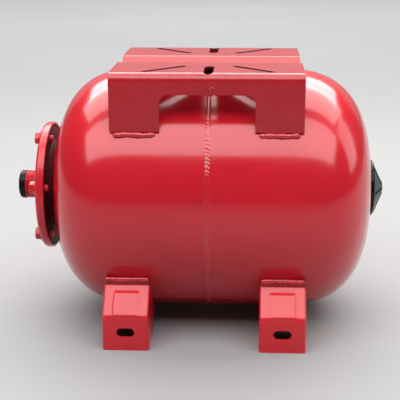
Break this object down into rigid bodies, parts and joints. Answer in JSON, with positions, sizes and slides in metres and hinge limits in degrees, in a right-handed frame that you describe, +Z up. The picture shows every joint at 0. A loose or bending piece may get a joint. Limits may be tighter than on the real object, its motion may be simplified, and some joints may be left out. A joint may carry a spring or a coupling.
{
  "type": "horizontal expansion vessel with pump bracket",
  "caption": "Horizontal steel expansion vessel with a bolted water flange, an air valve under a cone cover, feet, and a slotted pump plate on top.",
  "frame": {"origin": "on the floor, under the middle of the object's overall length and depth", "axes": "+X along the tank from the water flange to the air valve, +Z up, the front feet towards -Y"},
  "size_m": [0.4342, 0.296, 0.3015],
  "materials": {
    "red_shell": "glossy red powder coat on pressed steel",
    "red_bracket": "glossy red powder coat on folded plate",
    "red_foot": "glossy red powder coat on pressed plate",
    "red_flange": "glossy red powder coat",
    "red_weld": "painted weld bead, rippled",
    "red_fastener": "painted over hexagon screws and washers",
    "black_plastic": "satin black polyethylene",
    "membrane_rubber": "matt black EPDM",
    "seal_rubber": "matt black rubber",
    "valve_brass": "turned brass",
    "valve_steel": "drawn steel"
  },
  "bodies": {
    "vessel": {"flange_side_shell": "red_shell", "valve_side_shell": "red_shell", "girth_weld": "red_weld", "mouth_collar": "red_flange", "collar_weld": "red_weld", "flange": "red_flange", "water_nipple": "red_flange", "nipple_weld": "red_weld", "flange_washers": "red_fastener", "flange_bolts": "red_fastener", "membrane": "membrane_rubber", "valve_boss": "red_flange", "valve_stem": "valve_brass", "valve_seal": "seal_rubber", "core_barrel": "valve_brass", "core_spring": "valve_steel", "pump_bracket": "red_bracket", "bracket_welds": "red_weld", "foot_welds": "red_weld", "foot_front_left": "red_foot", "foot_front_right": "red_foot", "foot_rear_left": "red_foot", "foot_rear_right": "red_foot"},
    "nipple_plug": {"nipple_plug": "black_plastic"},
    "valve_cover": {"valve_cover": "black_plastic"},
    "dust_cap": {"dust_cap": "black_plastic"},
    "valve_pin": {"valve_pin": "valve_steel", "pin_seal": "seal_rubber"}
  },
  "joints": [
    {"name": "nipple_plug_pull", "type": "slide", "parent": "vessel", "child": "nipple_plug", "axis": [-1, 0, 0], "range_m": [0, 0.03]},
    {"name": "valve_cover_pull", "type": "slide", "parent": "vessel", "child": "valve_cover", "axis": [1, 0, 0], "range_m": [0, 0.03]},
    {"name": "dust_cap_unscrew", "type": "slide", "parent": "vessel", "child": "dust_cap", "axis": [1, 0, 0], "range_m": [0, 0.005]},
    {"name": "valve_pin_press", "type": "slide", "parent": "vessel", "child": "valve_pin", "axis": [-1, 0, 0], "range_m": [0, 0.0012], "stiffness_N_per_m": 1500, "springref_m": -0.0007}
  ]
}
